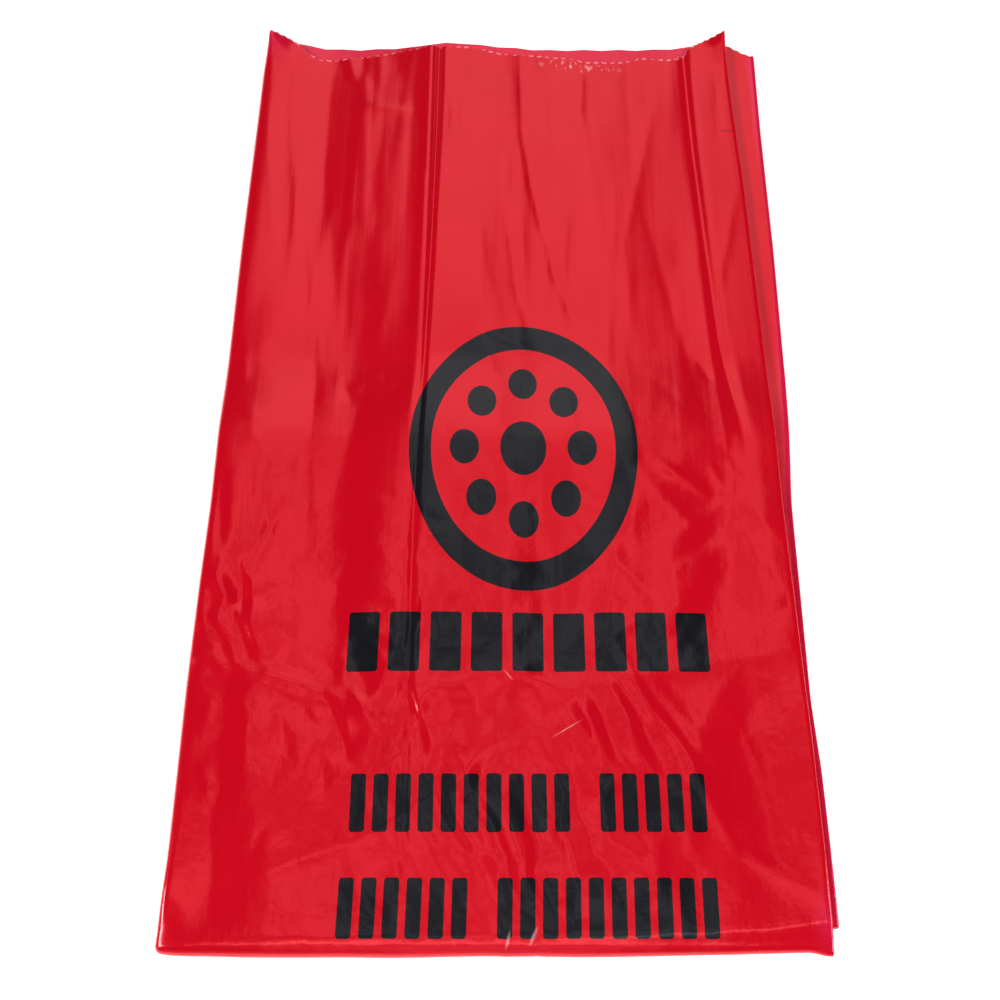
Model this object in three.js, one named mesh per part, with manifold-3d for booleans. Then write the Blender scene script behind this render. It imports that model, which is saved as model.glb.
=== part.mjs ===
// A red polyethylene waste bag, folded flat as it is stored.
// The bag is one tube of film, open at its mouth and sealed across its bottom.
// It is folded in half lengthwise, and its lower part is folded back under the rest.
import * as THREE from "three";
import { mergeVertices } from "three/addons/utils/BufferGeometryUtils.js";
import Module from "manifold-3d";

// Sizes in millimetres: X across the pack, Y towards the mouth, Z up from the floor.
const tubeWidth = 610; // the tube pressed flat, before it is folded in half
const bagLength = 813; // from the mouth to the end of the bottom seal
const packLength = 560; // from the mouth to the rounded fold at the near end
const backStep = 11; // how far the back half reaches past the front half
const mouthStep = 12; // how far the front wall ends short of the wall behind it
const sealLength = 10; // the welded band across the bottom
const rampLength = 60; // run over which the pack climbs onto the part folded under it
const filmWall = 0.8; // wall that stands in for the far thinner film
const airGap = 0.8; // clearance between two walls that lie on each other
const arcSteps = 4; // facets in a quarter turn of the small folds
const bendSteps = 12; // facets in the rounded fold at the near end
const rampSteps = 8; // facets in the climb

const frontWidth = (tubeWidth - backStep) / 2;
const backWidth = frontWidth + backStep;
const tubeThickness = 2 * filmWall + airGap;
const halfThickness = tubeThickness + airGap / 2;
const packThickness = 2 * halfThickness;
const bendRadius = halfThickness + airGap / 2;

// The flattened tube folded in half, seen along the bag and drawn in from its outer face.
// The fold is at the left and the tube's two edges end at the right.
function foldedTube(inset) {
  const edgeRadius = tubeThickness / 2 - inset;
  const backEdge = backWidth - tubeThickness / 2;
  const frontEdge = frontWidth - tubeThickness / 2;
  const quarter = Math.PI / 2;
  const outline = new THREE.Shape();
  outline.moveTo(halfThickness, inset);
  outline.lineTo(backEdge, inset);
  outline.absarc(backEdge, tubeThickness / 2, edgeRadius, -quarter, quarter, false);
  outline.lineTo(halfThickness, tubeThickness - inset);
  outline.absarc(halfThickness, halfThickness, airGap / 2 + inset, -quarter, -3 * quarter, true);
  outline.lineTo(frontEdge, packThickness - tubeThickness + inset);
  outline.absarc(frontEdge, packThickness - tubeThickness / 2, edgeRadius, -quarter, quarter, false);
  outline.lineTo(halfThickness, packThickness - inset);
  outline.absarc(halfThickness, halfThickness, halfThickness - inset, quarter, 3 * quarter, false);
  return outline;
}

// The line that the pack follows, given as stations with a place and a heading.
// The section stays level across the line and doesn't twist.
class FoldLine extends THREE.Curve {
  constructor(stations) {
    super();
    this.stations = stations;
  }

  stationAt(u) {
    return this.stations[Math.round(u * (this.stations.length - 1))];
  }

  getPoint(u, target = new THREE.Vector3()) {
    return target.copy(this.stationAt(u).place);
  }

  getPointAt(u, target) {
    return this.getPoint(u, target);
  }

  computeFrenetFrames(segments) {
    const frames = { tangents: [], normals: [], binormals: [] };
    for (let i = 0; i <= segments; i += 1) {
      const heading = this.stationAt(i / segments).heading;
      const across = new THREE.Vector3(1, 0, 0);
      frames.tangents.push(heading.clone());
      frames.normals.push(across);
      frames.binormals.push(new THREE.Vector3().crossVectors(heading, across));
    }
    return frames;
  }
}

function station(y, z, headingY, headingZ) {
  return {
    place: new THREE.Vector3(-backWidth / 2, y, z),
    heading: new THREE.Vector3(0, headingY, headingZ).normalize(),
  };
}

// The line runs along the outer face of the section's underside.
// From the mouth it lies on the floor, climbs, turns round the near fold and comes back below.
const mouthY = packLength / 2;
const bendY = -packLength / 2 + bendRadius + halfThickness;
const topLevel = 2 * bendRadius;
const turnLength = Math.PI * bendRadius;
const sealY = bendY + bagLength - (mouthY - bendY) - turnLength;
const rampEnd = sealY + 2 * airGap;

function bagStations() {
  const stations = [station(mouthY, 0, -1, 0)];
  for (let i = 0; i <= rampSteps; i += 1) {
    const share = i / rampSteps;
    const turn = Math.PI * share;
    const y = rampEnd + rampLength * (1 - share);
    const z = (topLevel * (1 - Math.cos(turn))) / 2;
    const slope = (topLevel * Math.PI * Math.sin(turn)) / (2 * rampLength);
    stations.push(station(y, z, -1, slope));
  }
  const centre = bendRadius + halfThickness;
  for (let i = 0; i <= bendSteps; i += 1) {
    const turn = (Math.PI * i) / bendSteps;
    const inner = airGap / 2;
    const y = bendY - inner * Math.sin(turn);
    const z = centre + inner * Math.cos(turn);
    stations.push(station(y, z, -Math.cos(turn), -Math.sin(turn)));
  }
  stations.push(station(sealY, packThickness, 1, 0));
  return stations;
}

function sweep(section, stations) {
  return new THREE.ExtrudeGeometry(section, {
    extrudePath: new FoldLine(stations),
    steps: stations.length - 1,
    curveSegments: arcSteps,
    bevelEnabled: false,
  });
}

const wasm = await Module();
wasm.setup();

function toSolid(geometry) {
  const bare = geometry.clone();
  bare.deleteAttribute("normal");
  bare.deleteAttribute("uv");
  const merged = mergeVertices(bare, 1e-4);
  return new wasm.Manifold(
    new wasm.Mesh({
      numProp: 3,
      vertProperties: merged.attributes.position.array,
      triVerts: new Uint32Array(merged.index.array),
    }),
  );
}

function toGeometry(solid) {
  const mesh = solid.getMesh();
  const geometry = new THREE.BufferGeometry();
  geometry.setAttribute("position", new THREE.BufferAttribute(mesh.vertProperties, 3));
  geometry.setIndex(new THREE.BufferAttribute(mesh.triVerts, 1));
  const faceted = geometry.toNonIndexed();
  faceted.computeVertexNormals();
  return faceted;
}

// The open tube along the whole line.
const section = foldedTube(0);
section.holes.push(foldedTube(filmWall));
const tube = toSolid(sweep(section, bagStations()));

// The weld that closes the tube at its bottom end.
const seal = toSolid(
  sweep(foldedTube(0), [
    station(sealY - sealLength, packThickness, 1, 0),
    station(sealY, packThickness, 1, 0),
  ]),
);

// At the mouth the front wall ends a little short, so the inside of the wall behind it shows.
const trimHeight = filmWall + airGap;
const trim = new THREE.BoxGeometry(2 * backWidth, 2 * mouthStep, 2 * trimHeight);
trim.translate(0, mouthY, packThickness - filmWall - airGap / 2 + trimHeight);

const body = tube.add(seal).subtract(toSolid(trim));

const film = new THREE.MeshStandardMaterial({
  name: "red_film",
  color: 0xd41c2c,
  roughness: 0.25,
  metalness: 0,
});

const bag = new THREE.Mesh(toGeometry(body), film);
bag.name = "bag";

const pack = new THREE.Group();
pack.name = "waste_bag";
pack.add(bag);

export default pack;
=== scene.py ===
# %% [markdown]
# # A red waste bag of polyethylene film, folded flat
# The bag is one long tube of thin glossy film. It lies as it comes out of its box: pressed flat,
# folded in half lengthwise, and with its bottom third turned under. The mouth is a torn row of
# perforations. We first load the plain solid that gives the place and size of everything.

import math
import random

import bpy
import numpy as np
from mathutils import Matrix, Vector


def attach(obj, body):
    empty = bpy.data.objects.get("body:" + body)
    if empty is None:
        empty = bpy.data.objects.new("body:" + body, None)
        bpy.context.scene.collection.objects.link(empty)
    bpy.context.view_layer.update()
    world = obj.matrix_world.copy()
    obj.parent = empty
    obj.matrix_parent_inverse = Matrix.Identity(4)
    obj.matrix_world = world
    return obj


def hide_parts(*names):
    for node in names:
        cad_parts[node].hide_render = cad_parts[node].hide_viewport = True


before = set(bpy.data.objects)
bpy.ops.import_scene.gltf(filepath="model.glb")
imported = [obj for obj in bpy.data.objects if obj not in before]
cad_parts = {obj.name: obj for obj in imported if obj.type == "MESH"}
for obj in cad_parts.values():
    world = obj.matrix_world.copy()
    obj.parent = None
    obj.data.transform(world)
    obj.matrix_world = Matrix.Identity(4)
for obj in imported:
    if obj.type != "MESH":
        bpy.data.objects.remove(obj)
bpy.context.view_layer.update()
MM = 0.001

# %% [markdown]
# ## Camera
# The photograph looks down on the bag from its bottom end, about 63 degrees above the table, so
# the far mouth looks much narrower than the near fold. The lens follows from how fast the pack's
# two sides draw together.

# %% Camera
CAMERA_PLACE = (-3.65 * MM, -328.5 * MM, 550.3 * MM)
CAMERA_TILT = 26.78  # degrees away from looking straight down
LENS = 40.94  # mm, on a sensor 36 mm wide

bpy.ops.object.camera_add(location=CAMERA_PLACE, rotation=(math.radians(CAMERA_TILT), 0, 0))
camera = bpy.context.object
camera.data.lens = LENS
camera.data.sensor_width = 36
camera.data.clip_start = 0.01
bpy.context.scene.camera = camera
bpy.context.scene.view_settings.view_transform = "Standard"
print("camera", LENS, "mm")

# %% [markdown]
# ## The folded section
# A mesh of film starts as a flat grid, as the real film starts as a flat web. Its columns run
# round the tube and its rows run from mouth to seal. Each column is told which wall it belongs
# to, how far across that wall it is and how high the wall lies in the pack. The four walls are,
# from the top: front wall, front lining, back lining, back wall. The front pair ends at the
# pack's right in one edge of the tube, the back pair in the other.

# %% Columns round the tube
FRONT, LINING, BACK_LINING, BACK = 5.4, 3.6, 1.9, 0.3  # heights of the walls in the pack, mm
OUTER_RADIUS = (FRONT - BACK) / 2
EDGE_RADIUS = (FRONT - LINING) / 2
INNER_INSET = 3.0
FRONT_COLUMNS = 164
CROWDING = [
    # share across the front wall, columns added there, share over which they are added
    (0.363, 1.6, 0.025),  # the tuck
    (0.917, 1.2, 0.02),  # the strip's fold
]
LINING_COLUMNS, BACK_LINING_COLUMNS, BACK_COLUMNS = 26, 18, 22
FREE_EDGE, FREE_EDGE_COLUMNS = 0.88, 16  # the back lining shows from this share on
EDGE_TURN, INNER_TURN, OUTER_TURN = 6, 4, 8  # columns round the small folds

columns = []


def add_wall(shares, height, edge, inset):
    """Columns across one wall. A share of 0 is at the lengthwise fold and 1 at the tube's edge."""
    for share in shares:
        columns.append((share, height, edge, inset, 0.0, 1.0 if height == FRONT else 0.0))


def add_turn(count, share, start, end, edge, inset, side):
    """Columns round a small fold, from one wall's height to the next."""
    middle, radius = (start + end) / 2, (start - end) / 2
    for step in range(count):
        turn = math.pi * step / count
        push = side * abs(radius) * math.sin(turn)
        columns.append((share, middle + radius * math.cos(turn), edge, inset, push, 0.5))


even = np.linspace
shares = even(0, 1, 1001)
density = np.ones_like(shares)
for crowd_share, added, spread in CROWDING:
    density += added * np.exp(-((shares - crowd_share) / spread) ** 2)
filled = np.cumsum(density) - density[0]
front_shares = np.interp(even(0, 1, FRONT_COLUMNS, endpoint=False), filled / filled[-1], shares)
add_wall(front_shares, FRONT, 0, OUTER_RADIUS)
add_turn(EDGE_TURN, 1, FRONT, LINING, 0, OUTER_RADIUS, 1)
add_wall(even(1, 0, LINING_COLUMNS, endpoint=False), LINING, 0, INNER_INSET)
add_turn(INNER_TURN, 0, LINING, BACK_LINING, 1, INNER_INSET, -1)
add_wall(even(0, FREE_EDGE, BACK_LINING_COLUMNS, endpoint=False), BACK_LINING, 1, INNER_INSET)
add_wall(even(FREE_EDGE, 1, FREE_EDGE_COLUMNS, endpoint=False), BACK_LINING, 1, INNER_INSET)
add_turn(EDGE_TURN, 1, BACK_LINING, BACK, 1, INNER_INSET, 1)
add_wall(even(1, 0, BACK_COLUMNS, endpoint=False), BACK, 1, OUTER_RADIUS)
add_turn(OUTER_TURN, 0, BACK, FRONT, 1, OUTER_RADIUS, -1)
columns.append(columns[0])
share, height, edge, inset, push, front_share = np.array(columns, float).T
print("columns", len(columns))

# %% [markdown]
# ## The line from mouth to seal
# The rows are 2 mm apart where the film shows. They run down the pack, round the near fold and
# back beneath, where they can be far coarser, because nobody sees them.

# %% Rows along the bag
BAG_LENGTH = 813.0
MOUTH_Y = 285.0
BEND_Y = -278.0
BEND_LEVEL = 6.0  # height of the near fold's axis
UNDER_LIFT = 6.2  # how far the part below raises the pack
ROW_STEP = 2.0
BEND_ROWS = 12
UNDER_ROWS = 26
RAMP_FOOT, RAMP_TOP = 40.0, -22.0

top_rows = int((MOUTH_Y - BEND_Y) / ROW_STEP) + 1
row_y = MOUTH_Y - ROW_STEP * np.arange(top_rows)
bend_turn = np.pi * np.arange(1, BEND_ROWS + 1) / BEND_ROWS
bend_length = math.pi * FRONT
under_length = BAG_LENGTH - (MOUTH_Y - BEND_Y) - bend_length
under_y = BEND_Y + under_length * np.arange(1, UNDER_ROWS + 1) / UNDER_ROWS
rows = top_rows + BEND_ROWS + UNDER_ROWS
print("rows", rows, "quads", (rows - 1) * (len(columns) - 1))


def smooth_step(value):
    value = np.clip(value, 0, 1)
    return value * value * (3 - 2 * value)


def soft_line(places, at, blur=25.0):
    """A line through places, with its corners rounded over blur millimetres."""
    start, level = np.array(sorted(places), float).T
    fine = np.arange(start[0] - 40, start[-1] + 40, 1.0)
    kernel = np.hanning(int(blur) | 1)
    reach = len(kernel) // 2
    padded = np.pad(np.interp(fine, start, level), reach, mode="edge")
    return np.interp(at, fine, np.convolve(padded, kernel / kernel.sum(), "valid"))


# %% [markdown]
# ## Outline
# The sides aren't quite straight. The lengthwise fold at the left bows out a little past the
# middle, and the back half slips out from behind the front half towards the mouth. Each side is
# a short list of places read off the photograph, as (along, across) in millimetres.

# %% Sides and mouth
LEFT_SIDE = [(-281, -157.5), (-238, -156.5), (-159, -158), (-57, -157), (29, -159), (120, -160),
             (210, -160), (256, -160), (285, -158)]
FRONT_SIDE = [(-281, 145), (-192, 146), (-57, 146), (34, 148), (115, 148), (168, 148), (221, 147),
              (285, 146)]
BACK_SIDE = [(-281, 149), (-200, 150), (-166, 149), (-57, 152), (-34, 154), (26, 159), (115, 162),
             (215, 164), (285, 166)]
BACK_MOUTH = [(-157, 292), (-141, 289), (-120, 286), (-97, 285), (-59, 286), (-43, 289), (-27, 289),
              (-11, 287), (23, 285), (92, 285), (132, 287), (145, 291), (152, 286), (160, 279),
              (166, 277)]
FRONT_MOUTH = [(-157, 292), (-145, 289), (-138, 285), (-133, 279), (-123, 273), (-106, 274),
               (-88, 276), (-65, 280), (-50, 282), (-34, 282), (-18, 281), (-5, 277), (18, 277),
               (42, 275), (53, 271), (78, 271), (89, 275), (111, 273), (118, 276), (123, 283),
               (132, 287), (145, 291)]
MOUTH_REACH = 90.0  # the mouth's own waviness dies out over this length
TOOTH = 0.45  # half the depth of the torn perforation, mm


def across_at(along):
    """Where each column lies across the pack, for rows at these distances along it."""
    left = soft_line(LEFT_SIDE, along)[:, None]
    sides = [soft_line(side, along)[:, None] for side in (FRONT_SIDE, BACK_SIDE)]
    right = np.where(edge == 0, sides[0], sides[1]) - EDGE_RADIUS
    start = left + inset
    return start + (right - start) * share + push


# %% [markdown]
# ## Large forms
# Film this thin keeps every fold it has had. At the mouth a tuck runs down the pack, a strip
# along the right stands a little proud, the left third swells and the corners of the mouth curl
# up. Each form is a height in millimetres over the pack.

# %% Large forms
TUCK = [(285, -44), (211, -44), (114, -45), (7, -47), (-79, -49), (-160, -48)]
TUCK_WIDTH = [(285, 2.2), (211, 1.9), (114, 1.7), (7, 1.5), (-160, 1.5)]
TUCK_DEPTH = [(285, 1.5), (211, 1.4), (114, 1.0), (7, 0.4), (-79, 0.3), (-160, 0.2), (-281, 0.0)]
LIP_HEIGHT = [(285, 1.0), (211, 0.8), (114, 0.5), (40, 0.2), (7, 0.0), (-281, 0.0)]
STRIP = [(285, 118), (198, 118), (115, 120), (49, 122), (18, 125), (-40, 132)]
STRIP_DEPTH = [(285, 1.1), (198, 1.0), (115, 0.8), (18, 0.5), (-40, 0.0), (-281, 0.0)]
BANK = [(285, 4.4), (114, 4.4), (7, 3.6), (-114, 2.4), (-200, 0.6), (-281, 0.0)]
BANK_FOOT = [(285, -116), (198, -115), (-114, -104), (-281, -104)]
PUFF = [(285, 3.2), (7, 3.0), (-100, 2.6), (-150, 0.3), (-281, 0.0)]
EDGE_LIFT = [(285, 0.13), (60, 0.12), (-60, 0.03), (-281, 0.0)]  # slope of the back half's free edge
NEAR_CREASE = [(-160, -275.5), (0, -274.5), (50, -273.5), (97, -271.5), (121, -270), (140, -267.5),
               (150, -267)]  # where the front wall starts to turn down, as (across, along)
NEAR_SLOPE = [(-160, 0.20), (40, 0.20), (110, 0.26), (150, 0.28)]
SWELLS = [
    # middle x, y, reach x, y and height in mm
    (60, 10, 60, 60, 1.1),
    (-20, -200, 90, 50, 0.8),
]
CURLS = [
    # corner x, y, how much narrower the curl is along the pack, height and reach in mm
    (-157, 290, 0.8, 8.0, 13),
    (146, 290, 0.8, 7.5, 11),
    (163, 283, 0.9, 4.0, 8),
]
WAVES = 70
WAVE_SHARE = [(285, 0.4), (20, 0.5), (-100, 1.0), (-281, 1.0)]


def bump(distance, width):
    return np.exp(-(distance / width) ** 2)


def ridge(distance, width, blunt=0.7):
    """A sharp crease: a peak that falls away on both sides, barely rounded at its top."""
    return np.exp(-(np.sqrt(distance**2 + blunt**2) - blunt) / width)


def soft_waves(x, y, seed=5):
    """Slow ripples, mostly across the pack, from film that doesn't lie quite flat on itself."""
    draw = random.Random(seed)
    total = np.zeros_like(x)
    for _ in range(WAVES):
        length = draw.uniform(26, 110)
        bearing = draw.gauss(0, 0.28) if draw.random() < 0.6 else draw.uniform(-1.57, 1.57)
        phase = draw.uniform(0, 2 * math.pi)
        ahead = (x * math.cos(bearing) + y * math.sin(bearing) * 0.55) * 2 * math.pi / length
        total += 0.0011 * length * np.sin(ahead + phase)
    return total


def large_forms(x, y):
    """The bank that climbs to the tuck, the swollen left third, the tuck, the strip and swells."""
    tuck = x - soft_line(TUCK, y)
    width = soft_line(TUCK_WIDTH, y)
    foot = soft_line(BANK_FOOT, y)
    climb = (x - foot) / (soft_line(TUCK, y) - width - foot)
    rise = 0.5 * (climb + np.sqrt(climb**2 + 0.004))
    bank = np.where(tuck < -width, rise, smooth_step(1 - (tuck + width) / 95) * 0.8 + 0.2)
    form = soft_line(BANK, y) * np.minimum(bank, 1.0)
    form += soft_line(PUFF, y) * np.clip((foot - x) / (foot + 158), 0, 1)
    form += 0.9 * (1 - np.exp(-np.maximum(x + 158, 0) / 3.5)) * smooth_step((y + 281) / 60)
    strip = x - soft_line(STRIP, y)
    on_strip = smooth_step((strip + 4) / 8) * smooth_step((y + 40) / 60)
    form += soft_line(WAVE_SHARE, y) * (1 - 0.8 * on_strip) * soft_waves(x, y)
    form -= soft_line(TUCK_DEPTH, y) * bump(tuck, width)
    form += soft_line(LIP_HEIGHT, y) * bump(tuck + width + 3.5, 4.0)
    form -= 0.6 * soft_line(STRIP_DEPTH, y) * bump(strip, 2.4)
    form += soft_line(STRIP_DEPTH, y) * (0.6 * smooth_step(strip / 7) + 0.9 * np.clip(strip / 28, 0, 1))
    for middle_x, middle_y, reach_x, reach_y, tall in SWELLS:
        form += tall * bump(y - middle_y, reach_y) * bump(x - middle_x, reach_x)
    return form


def near_corner(x, y):
    """The front wall turns down along a crease, and the pack's rounded corner at the left dips."""
    turned = np.maximum(soft_line(NEAR_CREASE, x, 9) - y, 0)
    dip = 2.4 * np.exp(-np.maximum(x + 157.5, 0) / 9) * bump(y + 274, 10)
    return soft_line(NEAR_SLOPE, x, 9) * turned + dip


def corner_curls(x, y):
    total = np.zeros_like(x)
    for corner_x, corner_y, narrowing, tall, reach in CURLS:
        away = np.hypot(x - corner_x, (y - corner_y) * narrowing)
        total += tall * np.exp(-away / reach)
    return total


# %% [markdown]
# ## Creases
# A crease is a short sharp line that fades at both ends. The ones that stand out most are
# listed. The rest are drawn from a seeded random list, long and nearly lengthwise
# towards the mouth, short and in all directions towards the bottom, where the film was handled
# most.

# %% Creases
LONG_CREASES, SHORT_CREASES = 90, 150
DEEPEST = 1.3  # creases that meet go no deeper than this, mm
SEEN_CREASES = [
    # (from x, y), (to x, y), height, width, all in mm
    ((10, 284), (11, 200), -0.35, 2.0),
    ((11, 208), (16, 160), -0.4, 1.4),
    ((15, 168), (29, 95), -0.4, 1.4),
    ((27, 102), (40, 58), -0.3, 1.4),
    ((1, 190), (-1, 145), 0.3, 2.0),
    ((-1, 152), (7, 85), -0.35, 2.0),
    ((5, 92), (12, 55), -0.3, 1.8),
    ((40, 160), (28, 50), 0.25, 2.5),
    ((-15, 52), (-8, 24), 0.5, 2.0),
    ((-95, 233), (-64, 226), 0.7, 3.0),
    ((82, -36), (106, -53), 0.7, 2.2),
    ((-49, 20), (-49, -160), -0.5, 2.0),
    ((-152, -40), (-148, -92), -0.6, 2.4),
    ((-138, -32), (-133, -92), -0.7, 2.6),
    ((-120, -60), (-136, -112), -0.7, 2.6),
    ((-160, -143), (-104, -157), 0.9, 3.2),
    ((-112, -155), (-70, -169), 0.9, 3.5),
    ((-76, -168), (10, -151), 0.7, 4.0),
    ((2, -150), (30, -162), 0.8, 3.0),
    ((24, -162), (146, -139), 0.6, 4.0),
    ((-150, -100), (-122, -140), 0.8, 3.0),
    ((-78, -158), (-62, -182), 0.8, 2.2),
    ((36, -172), (44, -184), 0.6, 1.8),
    ((74, -168), (104, -236), 0.7, 3.0),
    ((104, -236), (142, -258), 0.7, 4.0),
    ((-6, -262), (2, -284), 0.9, 2.0),
    ((9, -262), (15, -284), -0.8, 2.0),
    ((-120, -250), (-60, -228), 0.5, 4.0),
    ((-30, -236), (30, -246), 0.4, 4.0),
]


def crease(x, y, start, end, height, width):
    """The height of one crease over the film."""
    length = math.hypot(end[0] - start[0], end[1] - start[1])
    ahead = ((end[0] - start[0]) / length, (end[1] - start[1]) / length)
    middle = ((start[0] + end[0]) / 2, (start[1] + end[1]) / 2)
    along = (x - middle[0]) * ahead[0] + (y - middle[1]) * ahead[1]
    aside = (y - middle[1]) * ahead[0] - (x - middle[0]) * ahead[1]
    fade = np.clip(1 - (along / (0.62 * length)) ** 2, 0, 1)
    return height * fade * ridge(aside, width)


def ends(middle, length, lean):
    """The two ends of a crease, which leans this many radians away from lengthwise."""
    half = (length / 2 * math.sin(lean), length / 2 * math.cos(lean))
    start = (middle[0] - half[0], middle[1] - half[1])
    end = (middle[0] + half[0], middle[1] + half[1])
    return start, end


def random_creases(x, y, seed=11):
    """Long faint creases up to the mouth, then short lively ones over the lower part."""
    draw = random.Random(seed)
    total = np.zeros_like(x)
    for _ in range(LONG_CREASES):
        length, lean = draw.uniform(50, 170), draw.gauss(0, 0.10)
        middle = (draw.uniform(-150, 140), draw.uniform(-40, 260))
        start, end = ends(middle, length, lean)
        total += crease(x, y, start, end, draw.uniform(-0.22, 0.34), draw.uniform(1.8, 5.0))
    for _ in range(SHORT_CREASES):
        length, lean = draw.uniform(12, 48), draw.gauss(0, 0.7)
        middle = (draw.uniform(-152, 142), draw.triangular(-276, 60, -190))
        start, end = ends(middle, length, lean)
        total += crease(x, y, start, end, draw.uniform(-0.30, 0.42), draw.uniform(1.4, 4.5))
    return total


def fine_creases(x, y):
    """The random creases and the placed ones together."""
    total = random_creases(x, y)
    for start, end, height, width in SEEN_CREASES:
        total += crease(x, y, start, end, height, width)
    return np.maximum(total, -DEEPEST)


# %% [markdown]
# ## Facets
# Between its creases crumpled film is nearly flat, so it mirrors the room in patches with clear
# edges. We draw a line of straight pieces across the film, let it wander, and keep it to one
# neighbourhood. Several such neighbourhoods laid over each other give facets.

# %% Facets
CRUMPLES = [
    # middle x, y and reach x, y in mm, bearing in degrees, spacing and height in mm
    ((-88, 130), (34, 120), 0, 15, 0.16),
    ((-92, 20), (34, 90), -2, 14, 0.20),
    ((45, 150), (60, 100), 3, 17, 0.16),
    ((95, 60), (45, 110), -6, 15, 0.16),
    ((-138, 90), (10, 110), 2, 11, 0.12),
    ((-10, 0), (50, 80), 4, 11, 0.18),
    ((-95, 268), (55, 14), 12, 12, 0.40),
    ((50, 268), (60, 12), -5, 10, 0.20),
    ((-135, -62), (22, 40), 6, 8, 0.45),
    ((-134, -116), (20, 26), 25, 6, 1.0),
    ((-134, -122), (20, 22), 95, 7, 1.0),
    ((-100, -205), (55, 60), -4, 13, 0.75),
    ((-105, -180), (50, 46), 62, 20, 0.60),
    ((-45, -200), (42, 60), 8, 10, 0.60),
    ((-40, -178), (55, 26), -38, 12, 0.60),
    ((-62, -174), (26, 16), 28, 6, 0.85),
    ((-50, -170), (34, 12), 105, 7, 0.75),
    ((52, -178), (32, 17), 20, 5.5, 0.95),
    ((98, -70), (24, 34), -48, 8, 0.45),
    ((8, -232), (50, 32), 22, 6.5, 0.75),
    ((30, -205), (60, 50), -50, 17, 0.55),
    ((112, -200), (34, 60), -28, 24, 0.85),
    ((-20, -108), (80, 34), 8, 11, 0.42),
    ((70, -105), (60, 40), -16, 13, 0.46),
    ((0, -262), (150, 14), 6, 13, 0.45),
]


def wander(x, y, draw, shortest, longest, size):
    """A slow random drift of about this size, made of four sine waves."""
    total = np.zeros_like(x)
    for _ in range(4):
        length = draw.uniform(shortest, longest)
        bearing = draw.uniform(0, math.pi)
        phase = draw.uniform(0, 2 * math.pi)
        total += np.sin((x * math.cos(bearing) + y * math.sin(bearing)) * 2 * math.pi / length + phase)
    return size * total


def facets(x, y, seed=23):
    """Flat patches of film, from a line of straight pieces in each neighbourhood."""
    draw = random.Random(seed)
    total = np.zeros_like(x)
    for middle, reach, degrees, spacing, tall in CRUMPLES:
        bearing = math.radians(degrees)
        across = x * math.cos(bearing) + y * math.sin(bearing)
        across = across + wander(x, y, draw, 60, 150, 2.4) + wander(x, y, draw, 16, 42, 0.5)
        gaps = [draw.uniform(0.35, 1.65) * spacing for _ in range(int(1000 / spacing))]
        levels = [draw.uniform(-1, 1) for _ in gaps]
        near = bump(x - middle[0], reach[0]) * bump(y - middle[1], reach[1])
        total += tall * near * np.interp(across, np.cumsum(gaps) - 500, levels)
    return total


# %% [markdown]
# ## Folding the film
# Every point of the grid now gets its place. On top of the pack it lies at its wall's height,
# plus the forms and creases. Round the near fold the walls turn about one axis, the front wall
# outermost, and the back half turns a little earlier than the front half. Below they lie in the
# opposite order.

# %% Folding the film
SET_BACK = 9.0  # how much earlier the back half's free edge turns under, mm
CORNER_REACH = 2.5  # how far the front half's corner sticks out, mm
TURN_REACH = 50.0  # both of these die out over this length above the near fold
CALM_SHARE, CALM_REACH = 0.3, 30.0  # forms and creases shrink to this share at the near fold


def fold_film():
    """The place of every point in millimetres, row by row from the mouth to the seal."""
    x = across_at(row_y)
    y = np.repeat(row_y[:, None], len(columns), axis=1)
    back_edge = soft_line(BACK_MOUTH, x, 7)
    front_edge = soft_line(FRONT_MOUTH, x, 7)
    mouth = back_edge + (front_edge - back_edge) * (height > LINING + EDGE_RADIUS)
    tooth = TOOTH * (1 - 2 * (np.arange(len(columns)) % 2))
    reach = 1 - smooth_step((MOUTH_Y - y) / MOUTH_REACH)
    y = y + (mouth - MOUTH_Y) * reach + tooth * (row_y == MOUTH_Y)[:, None]
    set_back = np.where(edge == 1, SET_BACK * smooth_step((share - 0.92) / 0.08),
                        -CORNER_REACH * smooth_step((share - 0.965) / 0.035))
    y = y + set_back * (1 - smooth_step((y - BEND_Y) / TURN_REACH))
    raised = UNDER_LIFT * smooth_step((RAMP_FOOT - y) / (RAMP_FOOT - RAMP_TOP))
    layer = np.clip((height - BACK) / (FRONT - BACK), 0, 1)
    near_end = CALM_SHARE + (1 - CALM_SHARE) * smooth_step((y - BEND_Y) / CALM_REACH)
    forms = large_forms(x, y) * near_end - near_corner(x, y)
    z = raised + height + layer * (forms + corner_curls(x, y))
    z += front_share * (fine_creases(x, y) + facets(x, y)) * near_end
    past_front = np.maximum(x - soft_line(FRONT_SIDE, y), 0) * edge
    z += soft_line(EDGE_LIFT, y) * past_front
    top = np.stack([x, y, z], axis=2)

    bend_x = np.repeat(x[-1:], BEND_ROWS, axis=0)
    radius = z[-1] - BEND_LEVEL
    turn = bend_turn[:, None]
    bend_y = y[-1] - radius * np.sin(turn)
    bend = np.stack([bend_x, bend_y, BEND_LEVEL + radius * np.cos(turn)], axis=2)

    under_x = np.repeat(x[-1:], UNDER_ROWS, axis=0)
    level = np.repeat((BEND_LEVEL - radius)[None, :], UNDER_ROWS, axis=0)
    along = under_y[:, None] + set_back * even(1, 0, UNDER_ROWS)[:, None]
    under = np.stack([under_x, along, level], axis=2)
    return np.concatenate([top, bend, under])


points = fold_film()
print("lowest and highest, mm:", points[..., 2].min().round(2), points[..., 2].max().round(2))

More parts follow.
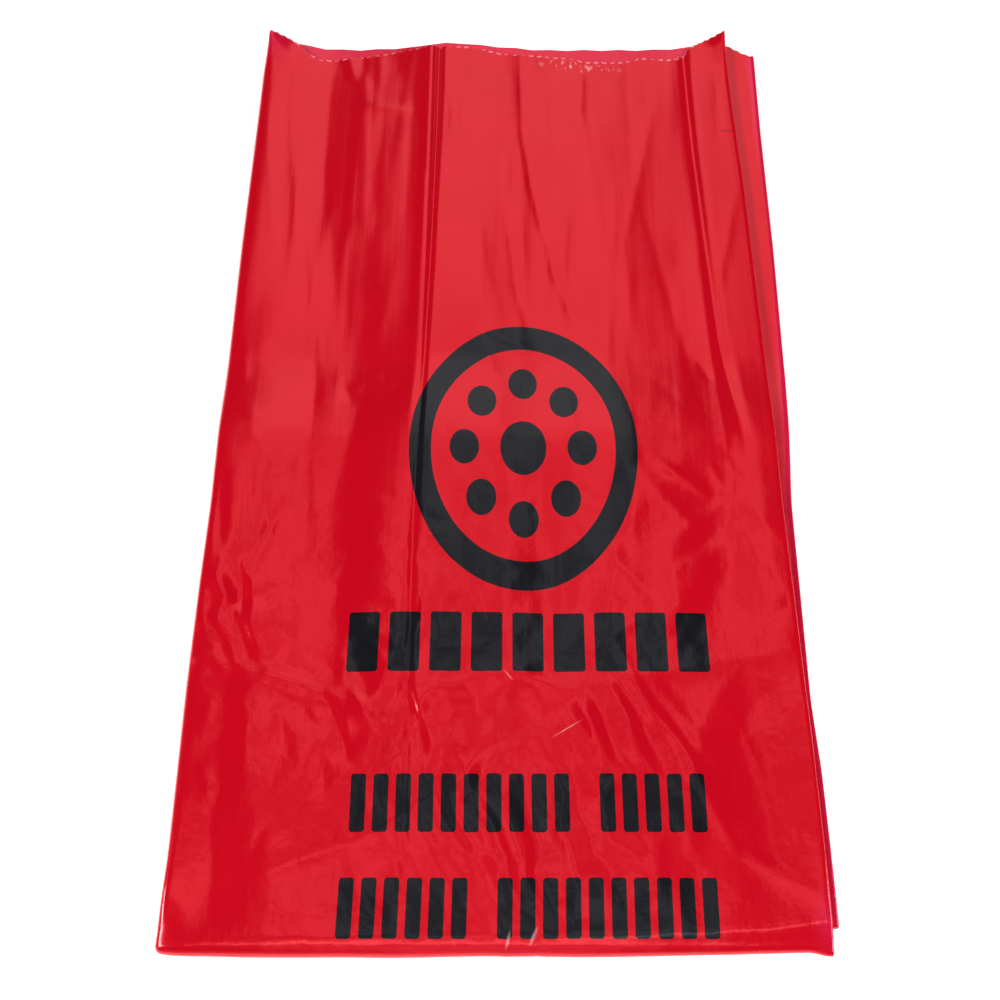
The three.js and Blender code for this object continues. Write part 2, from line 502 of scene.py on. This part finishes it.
# %% [markdown]
# ## The mesh
# The grid primitive has just the points we need, row by row. Moving them folds the film, and
# merging its first and last columns closes the tube. The flat film's own measures go into the
# UV map in metres, so that the print and the fine crinkles follow the film.

# %% The mesh
def flat_measures():
    """Where each column and row lies on the flat film, in metres. The front wall comes first."""
    nominal = across_at(np.array([0.0]))[0]
    steps = np.hypot(np.diff(nominal), np.diff(height))
    flat_x = nominal[0] + np.concatenate([[0], np.cumsum(steps)])
    bend_y = BEND_Y - bend_length * np.arange(1, BEND_ROWS + 1) / BEND_ROWS
    below_y = bend_y[-1] - (under_y - BEND_Y)
    return flat_x * MM, np.concatenate([row_y, bend_y, below_y]) * MM


bpy.ops.object.select_all(action="DESELECT")
bpy.ops.mesh.primitive_grid_add(x_subdivisions=len(columns) - 1, y_subdivisions=rows - 1, size=1)
bag = bpy.context.object
bag.name = "film_bag"
mesh = bag.data
flat_x, flat_y = flat_measures()
order = np.arange(len(mesh.vertices))
column_of, row_of = order % len(columns), order // len(columns)
film_points = points[row_of, column_of] * MM
mesh.vertices.foreach_set("co", film_points.astype(np.float32).ravel())

corner = np.zeros(len(mesh.loops), np.int32)
mesh.loops.foreach_get("vertex_index", corner)
flat = np.stack([flat_x[column_of[corner]], flat_y[row_of[corner]]], axis=1)
mesh.uv_layers.active.name = "film"
mesh.uv_layers.active.data.foreach_set("uv", flat.astype(np.float32).ravel())

# How far the film lies there with little behind it, from 0 to 1. It does so along the back half's
# free edge, inside the mouth and at two corners.
ALONE_FROM = [(285, 13), (120, 11), (0, 5), (-60, 1.5), (-281, 0.5)]  # distance past the front half
place_x, place_y = film_points[:, 0] / MM, film_points[:, 1] / MM
lining = (height <= LINING + 0.1) & (height >= BACK_LINING)
past_front = place_x - soft_line(FRONT_SIDE, np.clip(place_y, -281, 285))
alone = smooth_step((past_front - soft_line(ALONE_FROM, np.clip(place_y, -281, 285))) / 2)
alone = np.maximum(alone, 0.7 * (lining[column_of] & (row_of < 14) & (past_front < -1)))
alone = np.maximum(alone, 0.8 * np.exp(-(np.hypot(place_x + 157, place_y - 288) / 14) ** 2))
alone = np.maximum(alone, 0.8 * bump(place_x - 143, 5) * bump(place_y + 268, 10)).astype(np.float32)
attribute = mesh.attributes.new("alone", "FLOAT", "POINT")
attribute.data.foreach_set("value", alone)

MERGE_WITHIN = 0.00001  # metres
mesh.flip_normals()
bpy.ops.object.mode_set(mode="EDIT")
bpy.ops.mesh.select_all(action="SELECT")
bpy.ops.mesh.remove_doubles(threshold=MERGE_WITHIN)
bpy.ops.object.mode_set(mode="OBJECT")
bpy.ops.object.shade_smooth()
print("film faces", len(mesh.polygons))

# %% [markdown]
# ## Polyethylene film
# Blown low-density polyethylene, coloured through in red. It is glossy and slightly see-through,
# with faint lengthwise draw lines from the blowing and fine crinkles from handling. Its black
# print is a soft flexible ink. The print is plain: a ring with eight dots, and three rows of
# blocks.

# %% Nodes and colours
def linear(code):
    """A colour given as sRGB hex, turned to linear."""
    parts = [int(code[start:start + 2], 16) / 255 for start in (1, 3, 5)]
    return [p / 12.92 if p <= 0.04045 else ((p + 0.055) / 1.055) ** 2.4 for p in parts] + [1.0]


def add_node(tree, kind, inputs=(), **settings):
    """Adds a node. inputs pairs a socket's name or number with a value or another node's socket."""
    node = tree.nodes.new(kind)
    for name, value in settings.items():
        setattr(node, name, value)
    for socket, value in dict(inputs).items():
        if isinstance(value, bpy.types.NodeSocket):
            tree.links.new(value, node.inputs[socket])
        else:
            node.inputs[socket].default_value = value
    return node


film = bpy.data.materials.new("blown_polyethylene_film")
film.use_nodes = True
tree = film.node_tree
shader = tree.nodes["Principled BSDF"]
film_place = add_node(tree, "ShaderNodeUVMap", uv_map="film").outputs[0]
place_mm = add_node(tree, "ShaderNodeVectorMath", {0: film_place, 3: 1000.0}, operation="SCALE").outputs[0]
split = add_node(tree, "ShaderNodeSeparateXYZ", {0: place_mm})
film_x, film_y = split.outputs[0], split.outputs[1]

# %% [markdown]
# ## Print
# The print is worked out from the film's own measures, so it bends over every crease. A block is
# the inside of a rounded box, and compare nodes keep the blocks that each row prints.

# %% Print
MOTIF = (9.0, -26.0)  # centre, mm
MOTIF_TALL = 1.34  # height over width
RING_RADIUS, RING_HALF_WIDTH = 56.0, 6.0
DOT_CIRCLE, DOT_RADIUS, DOTS = 32.0, 8.0, 8
HUB_RADIUS = 12.5
BLOCK_ROWS = [
    # left, pitch, blocks, block left out, width of a block, low and high edge, all in mm
    (-82.0, 20.6, 9, -1, 15.6, -152.0, -121.0),
    (-76.0, 10.7, 16, 10, 7.2, -229.0, -202.0),
    (-79.0, 10.4, 17, 6, 7.0, -275.0, -249.0),
]
BLOCK_CORNER = 1.6  # radius of a block's corners, mm
SLACK = 0.1  # when block numbers are compared

motif_place = add_node(tree, "ShaderNodeMapping", {0: place_mm, 1: (*MOTIF, 0), 3: (1, MOTIF_TALL, 1)},
                       vector_type="TEXTURE").outputs[0]
motif_split = add_node(tree, "ShaderNodeSeparateXYZ", {0: motif_place})
radius = add_node(tree, "ShaderNodeVectorMath", {0: motif_place}, operation="LENGTH").outputs["Value"]
bearing = add_node(tree, "ShaderNodeMath", {0: motif_split.outputs[1], 1: motif_split.outputs[0]},
                   operation="ARCTAN2").outputs[0]
sector = 2 * math.pi / DOTS
in_sector = add_node(tree, "ShaderNodeMath", {0: bearing, 1: sector / 2, 2: -sector / 2},
                     operation="WRAP").outputs[0]
cosine = add_node(tree, "ShaderNodeMath", {0: in_sector}, operation="COSINE").outputs[0]
sine = add_node(tree, "ShaderNodeMath", {0: in_sector}, operation="SINE").outputs[0]
dot_x = add_node(tree, "ShaderNodeMath", {0: radius, 1: cosine, 2: -DOT_CIRCLE},
                 operation="MULTIPLY_ADD").outputs[0]
dot_y = add_node(tree, "ShaderNodeMath", {0: radius, 1: sine}, operation="MULTIPLY").outputs[0]
from_dot = add_node(tree, "ShaderNodeCombineXYZ", {0: dot_x, 1: dot_y}).outputs[0]
dot_radius = add_node(tree, "ShaderNodeVectorMath", {0: from_dot}, operation="LENGTH").outputs["Value"]
ring = add_node(tree, "ShaderNodeMath", {0: radius, 1: RING_RADIUS, 2: RING_HALF_WIDTH}, operation="COMPARE")
dots = add_node(tree, "ShaderNodeMath", {0: dot_radius, 1: DOT_RADIUS}, operation="LESS_THAN")
hub = add_node(tree, "ShaderNodeMath", {0: radius, 1: HUB_RADIUS}, operation="LESS_THAN")
ink = add_node(tree, "ShaderNodeMath", {0: ring.outputs[0], 1: dots.outputs[0]},
               operation="MAXIMUM").outputs[0]
ink = add_node(tree, "ShaderNodeMath", {0: ink, 1: hub.outputs[0]}, operation="MAXIMUM").outputs[0]

for left, pitch, count, left_out, block_width, low, high in BLOCK_ROWS:
    first = left + pitch / 2
    from_first = add_node(tree, "ShaderNodeMath", {0: film_x, 1: -first}, operation="ADD").outputs[0]
    number = add_node(tree, "ShaderNodeMath", {0: from_first, 1: pitch}, operation="DIVIDE").outputs[0]
    whole = add_node(tree, "ShaderNodeMath", {0: number}, operation="ROUND").outputs[0]
    in_cell = add_node(tree, "ShaderNodeMath", {0: from_first, 1: pitch / 2, 2: -pitch / 2},
                       operation="WRAP").outputs[0]
    in_row = add_node(tree, "ShaderNodeMath", {0: film_y, 1: -(low + high) / 2}, operation="ADD").outputs[0]
    centred = add_node(tree, "ShaderNodeCombineXYZ", {0: in_cell, 1: in_row}).outputs[0]
    folded = add_node(tree, "ShaderNodeVectorMath", {0: centred}, operation="ABSOLUTE").outputs[0]
    core = (block_width / 2 - BLOCK_CORNER, (high - low) / 2 - BLOCK_CORNER, 0)
    past_core = add_node(tree, "ShaderNodeVectorMath", {0: folded, 1: core}, operation="SUBTRACT").outputs[0]
    outside = add_node(tree, "ShaderNodeVectorMath", {0: past_core, 1: (0, 0, 0)},
                       operation="MAXIMUM").outputs[0]
    from_core = add_node(tree, "ShaderNodeVectorMath", {0: outside}, operation="LENGTH").outputs["Value"]
    block = add_node(tree, "ShaderNodeMath", {0: from_core, 1: BLOCK_CORNER},
                     operation="LESS_THAN").outputs[0]
    within = add_node(tree, "ShaderNodeMath", {0: whole, 1: (count - 1) / 2, 2: (count - 1) / 2 + SLACK},
                      operation="COMPARE").outputs[0]
    skipped = add_node(tree, "ShaderNodeMath", {0: whole, 1: float(left_out), 2: SLACK},
                       operation="COMPARE").outputs[0]
    in_print = add_node(tree, "ShaderNodeMath", {0: within, 1: skipped}, operation="SUBTRACT").outputs[0]
    row = add_node(tree, "ShaderNodeMath", {0: block, 1: in_print}, operation="MULTIPLY").outputs[0]
    ink = add_node(tree, "ShaderNodeMath", {0: ink, 1: row}, operation="MAXIMUM").outputs[0]
print("print nodes", len(tree.nodes))

# %% [markdown]
# ## Marks
# Film goes pale where it is stretched: in the torn perforation at the mouth, in the crinkles just
# below it and in a few small scuffs. The crinkles and scuffs also carry painted glints. One short
# slit near the mouth gets painted shade, a dark line. Each mark is an ellipse in the film's own measures.

# %% Marks
DASH_PITCH, DASH_SHARE, DASH_LENGTH = 5.4, 0.55, 1.1  # mm, share of the pitch that is torn, mm
DASHED_WIDTH = 147.0  # the dashes end at the front wall's edge
# The first scuff is a stretched scratch. The other three are pale stress marks with painted glints.
PALE_AND_GLINT_MARKS = [
    # middle x, y, turn in degrees, half length and half width in mm
    (29.0, -180.5, 30, 7.5, 0.35),
    (0.5, -276.0, 78, 4.0, 0.7),
    (12.0, -274.0, 66, 4.0, 0.8),
    (1.0, -154.0, 130, 3.0, 0.4),
]
CRINKLED = (48.0, 278.0, 0, 34.0, 6.0)  # the crinkled part below the mouth
# Painted shade: a dark line where a short slit in the film lies in shade.
SLIT_SHADE_MARK = (141.0, 208.5, -4, 4.0, 0.45)


def from_mark(middle_x, middle_y, turn, half_length, half_width):
    """How far the film's points are from a mark's middle. The rim of its ellipse is at 1."""
    in_mark = add_node(tree, "ShaderNodeMapping", {
        0: place_mm,
        1: (middle_x, middle_y, 0),
        2: (0, 0, math.radians(turn)),
        3: (half_length, half_width, 1),
    }, vector_type="TEXTURE").outputs[0]
    return add_node(tree, "ShaderNodeVectorMath", {0: in_mark}, operation="LENGTH").outputs["Value"]


# The torn dashes at the mouth, strong in some places and faint in others.
in_dash = add_node(tree, "ShaderNodeMath", {0: film_x, 1: 0.0, 2: DASH_PITCH},
                   operation="WRAP").outputs[0]
torn = add_node(tree, "ShaderNodeMath", {0: in_dash, 1: DASH_PITCH * DASH_SHARE},
                operation="LESS_THAN").outputs[0]
at_mouth = add_node(tree, "ShaderNodeMath", {0: film_y, 1: MOUTH_Y - DASH_LENGTH},
                    operation="GREATER_THAN").outputs[0]
on_front = add_node(tree, "ShaderNodeMath", {0: film_x, 1: DASHED_WIDTH},
                    operation="LESS_THAN").outputs[0]
patchy = add_node(tree, "ShaderNodeTexNoise", {"Vector": place_mm, "Scale": 1 / 9, "Detail": 1.0})
strong = add_node(tree, "ShaderNodeMapRange", {0: patchy.outputs[0], 1: 0.40, 2: 0.60, 3: 0.05, 4: 0.5})
for limit in (at_mouth, on_front, strong.outputs[0]):
    torn = add_node(tree, "ShaderNodeMath", {0: torn, 1: limit}, operation="MULTIPLY").outputs[0]

# The crinkles just below the mouth: pale stretched film and painted glints on its tiny folds.
near_crinkles = add_node(tree, "ShaderNodeMapRange",
                         {0: from_mark(*CRINKLED), 1: 1.0, 2: 0.3, 3: 0.0, 4: 1.0}).outputs[0]
drawn_out = add_node(tree, "ShaderNodeMapping",
                     {0: place_mm, 2: (0, 0, 0.3), 3: (1 / 2.6, 1 / 7, 1)}).outputs[0]
crinkle_and_glint = add_node(tree, "ShaderNodeTexNoise", {"Vector": drawn_out, "Detail": 1.0, "Scale": 1.0})
crinkle_and_glint = add_node(tree, "ShaderNodeMapRange", {0: crinkle_and_glint.outputs[0], 1: 0.55, 2: 0.68, 3: 0.0, 4: 0.55})
crinkle_and_glint = add_node(tree, "ShaderNodeMath", {0: crinkle_and_glint.outputs[0], 1: near_crinkles},
                   operation="MULTIPLY").outputs[0]

pale_and_glint = add_node(tree, "ShaderNodeMath", {0: torn, 1: crinkle_and_glint}, operation="MAXIMUM").outputs[0]
# Scuffs: pale stretched film, partly painted glints.
for mark in PALE_AND_GLINT_MARKS:
    scuff_and_glint = add_node(tree, "ShaderNodeMapRange",
                     {0: from_mark(*mark), 1: 1.3, 2: 0.3, 3: 0.0, 4: 0.42}).outputs[0]
    pale_and_glint = add_node(tree, "ShaderNodeMath", {0: pale_and_glint, 1: scuff_and_glint}, operation="MAXIMUM").outputs[0]
# Painted shade in the short slit near the mouth.
slit_shade = add_node(tree, "ShaderNodeMapRange",
                {0: from_mark(*SLIT_SHADE_MARK), 1: 1.2, 2: 0.6, 3: 0.0, 4: 1.0}).outputs[0]
print("marks", len(PALE_AND_GLINT_MARKS) + 1)

# %% [markdown]
# ## Colour and relief of the film
# Blown film is nearly as smooth as glass, so its roughness is low and its reflections stay clear.
# A share of it is metallic. That stands for light that enters the red film and is mirrored back
# by its underside and the walls below, so bright parts stay a full red instead of turning white.
# Where the film lies alone its red turns towards pink, because light passes through it. Two
# scales of relief are too fine for the mesh: draw lines along the film, and the faint unevenness
# that handling leaves, strongest towards the bottom.

# %% Colour and relief
# The film's red is a shaded red and a lit red: painted light and shade in soft random patches.
DEEP_RED, PAINTED_LIT_RED = linear("#CC031B"), linear("#D8061F")
PINK = linear("#DC1C46")
INK_BLACK = linear("#17171D")
# Pale stretched film. It is also the colour of the painted glints on crinkles and scuffs.
STRETCHED_AND_GLINT = linear("#F2B9BC")  # film goes pale where it was stretched
# The dark red of the painted shade in the slit.
SLIT_SHADE_RED = linear("#7A0614")
ROUGHNESS, MIRRORED_RED, FILM_IOR = 0.14, 0.3, 1.51
LIGHT_PATCH_SIZE, UNEVEN = 45, 16  # sizes in mm of the patches in the red and of the handling's relief
DRAW_WIDTH, DRAW_LENGTH, DRAW_SHARE = 8, 220, 0.25  # draw lines in mm, and their part of the relief
RELIEF_DEPTH, RELIEF_STRENGTH = 0.0007, 0.5  # metres, and how much of it is used

# Painted light and shade: soft random patches mix the shaded red with the lit red.
light_and_shade_patches = add_node(tree, "ShaderNodeTexNoise", {"Vector": place_mm, "Scale": 1 / LIGHT_PATCH_SIZE, "Detail": 3.0})
colour = add_node(tree, "ShaderNodeMix", {0: light_and_shade_patches.outputs[0], 6: DEEP_RED, 7: PAINTED_LIT_RED},
                  data_type="RGBA").outputs[2]
thin = add_node(tree, "ShaderNodeAttribute", attribute_name="alone").outputs["Fac"]
# Each of these is laid over the ones before it.
for amount, layer_colour in [(thin, PINK), (slit_shade, SLIT_SHADE_RED), (ink, INK_BLACK), (pale_and_glint, STRETCHED_AND_GLINT)]:
    colour = add_node(tree, "ShaderNodeMix", {0: amount, 6: colour, 7: layer_colour},
                      data_type="RGBA").outputs[2]
tree.links.new(colour, shader.inputs["Base Color"])
shader.inputs["Roughness"].default_value = ROUGHNESS
shader.inputs["Metallic"].default_value = MIRRORED_RED
shader.inputs["IOR"].default_value = FILM_IOR

draw_place = add_node(tree, "ShaderNodeMapping",
                      {0: place_mm, 3: (1 / DRAW_WIDTH, 1 / DRAW_LENGTH, 1)}).outputs[0]
draw_lines = add_node(tree, "ShaderNodeTexNoise",
                      {"Vector": draw_place, "Scale": 1.0, "Detail": 3.0}).outputs[0]
handling = add_node(tree, "ShaderNodeTexNoise",
                    {"Vector": place_mm, "Scale": 1 / UNEVEN, "Detail": 4.0}).outputs[0]
lower = add_node(tree, "ShaderNodeMapRange", {0: film_y, 1: 60.0, 2: -140.0, 3: 0.2, 4: 1.0}).outputs[0]
handled = add_node(tree, "ShaderNodeMath", {0: handling, 1: lower}, operation="MULTIPLY").outputs[0]
relief = add_node(tree, "ShaderNodeMath", {0: draw_lines, 1: DRAW_SHARE, 2: handled},
                  operation="MULTIPLY_ADD").outputs[0]
bump_node = add_node(tree, "ShaderNodeBump",
                     {"Height": relief, "Distance": RELIEF_DEPTH, "Strength": RELIEF_STRENGTH})
tree.links.new(bump_node.outputs[0], shader.inputs["Normal"])
mesh.materials.append(film)

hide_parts("bag")
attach(bag, "root")

# %% [markdown]
# ## Floor and light
# A plain white table in a pale room. Glossy film shows what it mirrors. What lies on the table
# mirrors a white wall beyond it, drawn here as a narrow part of the sky. Its lower part, which
# the far half mirrors, is even and bright. Higher up it breaks into patches, which the near half
# mirrors, and past its sides the ceiling is dark. The light that the table needs comes from two
# lamps far out at the sides. Flat film doesn't mirror them, so they only glint on creases. A dim
# strip above the camera lights the near fold.

# %% Floor and light
TABLE_DROP = 0.0005  # metres, so that the film and the table never share a plane

bpy.ops.object.select_all(action="DESELECT")
bpy.ops.mesh.primitive_plane_add(size=8, location=(0, 0, -TABLE_DROP))
floor = bpy.context.object
floor.name = "floor"
white = bpy.data.materials.new("white_table")
white.use_nodes = True
table_shader = white.node_tree.nodes["Principled BSDF"]
table_shader.inputs["Base Color"].default_value = linear("#F4F4F4")
table_shader.inputs["Roughness"].default_value = 0.8
table_shader.inputs["Emission Color"].default_value = linear("#FFFFFF")
table_shader.inputs["Emission Strength"].default_value = 0.3
floor.data.materials.append(white)

ROOM_LIGHT, LEVEL_LIGHT = 0.04, 0.55  # brightness of the ceiling, and of the room at table level
WALL_SIDE, WALL_END = 0.16, 0.30  # the wall fades out between these slopes to the side

world = bpy.data.worlds.new("studio")
world.use_nodes = True
sky = world.node_tree
sky.nodes["Background"].inputs[0].default_value = linear("#FFFFFF")
looking = add_node(sky, "ShaderNodeTexCoord").outputs["Generated"]
towards = add_node(sky, "ShaderNodeSeparateXYZ", {0: looking})
upward = add_node(sky, "ShaderNodeMath", {0: towards.outputs[2], 1: 0.02}, operation="MAXIMUM").outputs[0]
sideways = add_node(sky, "ShaderNodeMath", {0: towards.outputs[0], 1: upward},
                    operation="DIVIDE").outputs[0]
beyond = add_node(sky, "ShaderNodeMath", {0: towards.outputs[1], 1: upward},
                  operation="DIVIDE").outputs[0]
off_axis = add_node(sky, "ShaderNodeMath", {0: sideways}, operation="ABSOLUTE").outputs[0]
across_wall = add_node(sky, "ShaderNodeMapRange", {0: off_axis, 1: WALL_SIDE, 2: WALL_END, 3: 1.0, 4: 0.0},
                       interpolation_type="SMOOTHSTEP").outputs[0]
down_wall = add_node(sky, "ShaderNodeMapRange", {0: beyond, 1: 0.30, 2: 1.0, 3: 0.74, 4: 1.05}).outputs[0]
wall_place = add_node(sky, "ShaderNodeCombineXYZ", {0: sideways, 1: beyond}).outputs[0]
patches = add_node(sky, "ShaderNodeTexNoise",
                   {"Vector": wall_place, "Scale": 8.0, "Detail": 1.0}).outputs[0]
darkest = add_node(sky, "ShaderNodeMapRange",
                   {0: beyond, 1: 0.35, 2: 0.75, 3: 0.04, 4: 0.85}).outputs[0]
wall_shade = add_node(sky, "ShaderNodeMapRange",
                      {0: patches, 1: 0.44, 2: 0.54, 3: darkest, 4: 1.0}).outputs[0]
wall = add_node(sky, "ShaderNodeMath", {0: across_wall, 1: down_wall}, operation="MULTIPLY").outputs[0]
wall = add_node(sky, "ShaderNodeMath", {0: wall, 1: wall_shade}, operation="MULTIPLY").outputs[0]
rest_of_room = add_node(sky, "ShaderNodeMapRange",
                        {0: towards.outputs[2], 1: 0.0, 2: 0.5, 3: LEVEL_LIGHT, 4: ROOM_LIGHT}).outputs[0]
room = add_node(sky, "ShaderNodeMath", {0: wall, 1: rest_of_room}, operation="ADD").outputs[0]
sky.links.new(room, sky.nodes["Background"].inputs[1])
bpy.context.scene.world = world

LAMPS = [
    # name, place and aim in m, width and height in m, power in W
    ("strip_above_camera", (0.0, -0.62, 1.5), (0, -0.25, 0), (1.2, 0.12), 0.8),
    ("lamp_left", (-1.6, -0.55, 1.4), (0, 0.15, 0), (1.0, 0.5), 42),
    ("lamp_right", (1.6, -0.55, 1.4), (0, 0.15, 0), (1.0, 0.5), 41),
]
for name, place, aim, size, power in LAMPS:
    bpy.ops.object.light_add(type="AREA", location=place)
    lamp = bpy.context.object
    lamp.name = name
    lamp.data.shape = "RECTANGLE"
    lamp.data.size, lamp.data.size_y = size
    lamp.data.energy = power
    beam = Vector(aim) - lamp.location
    lamp.rotation_euler = beam.to_track_quat("-Z", "Y").to_euler()
print("lamps", len(LAMPS))
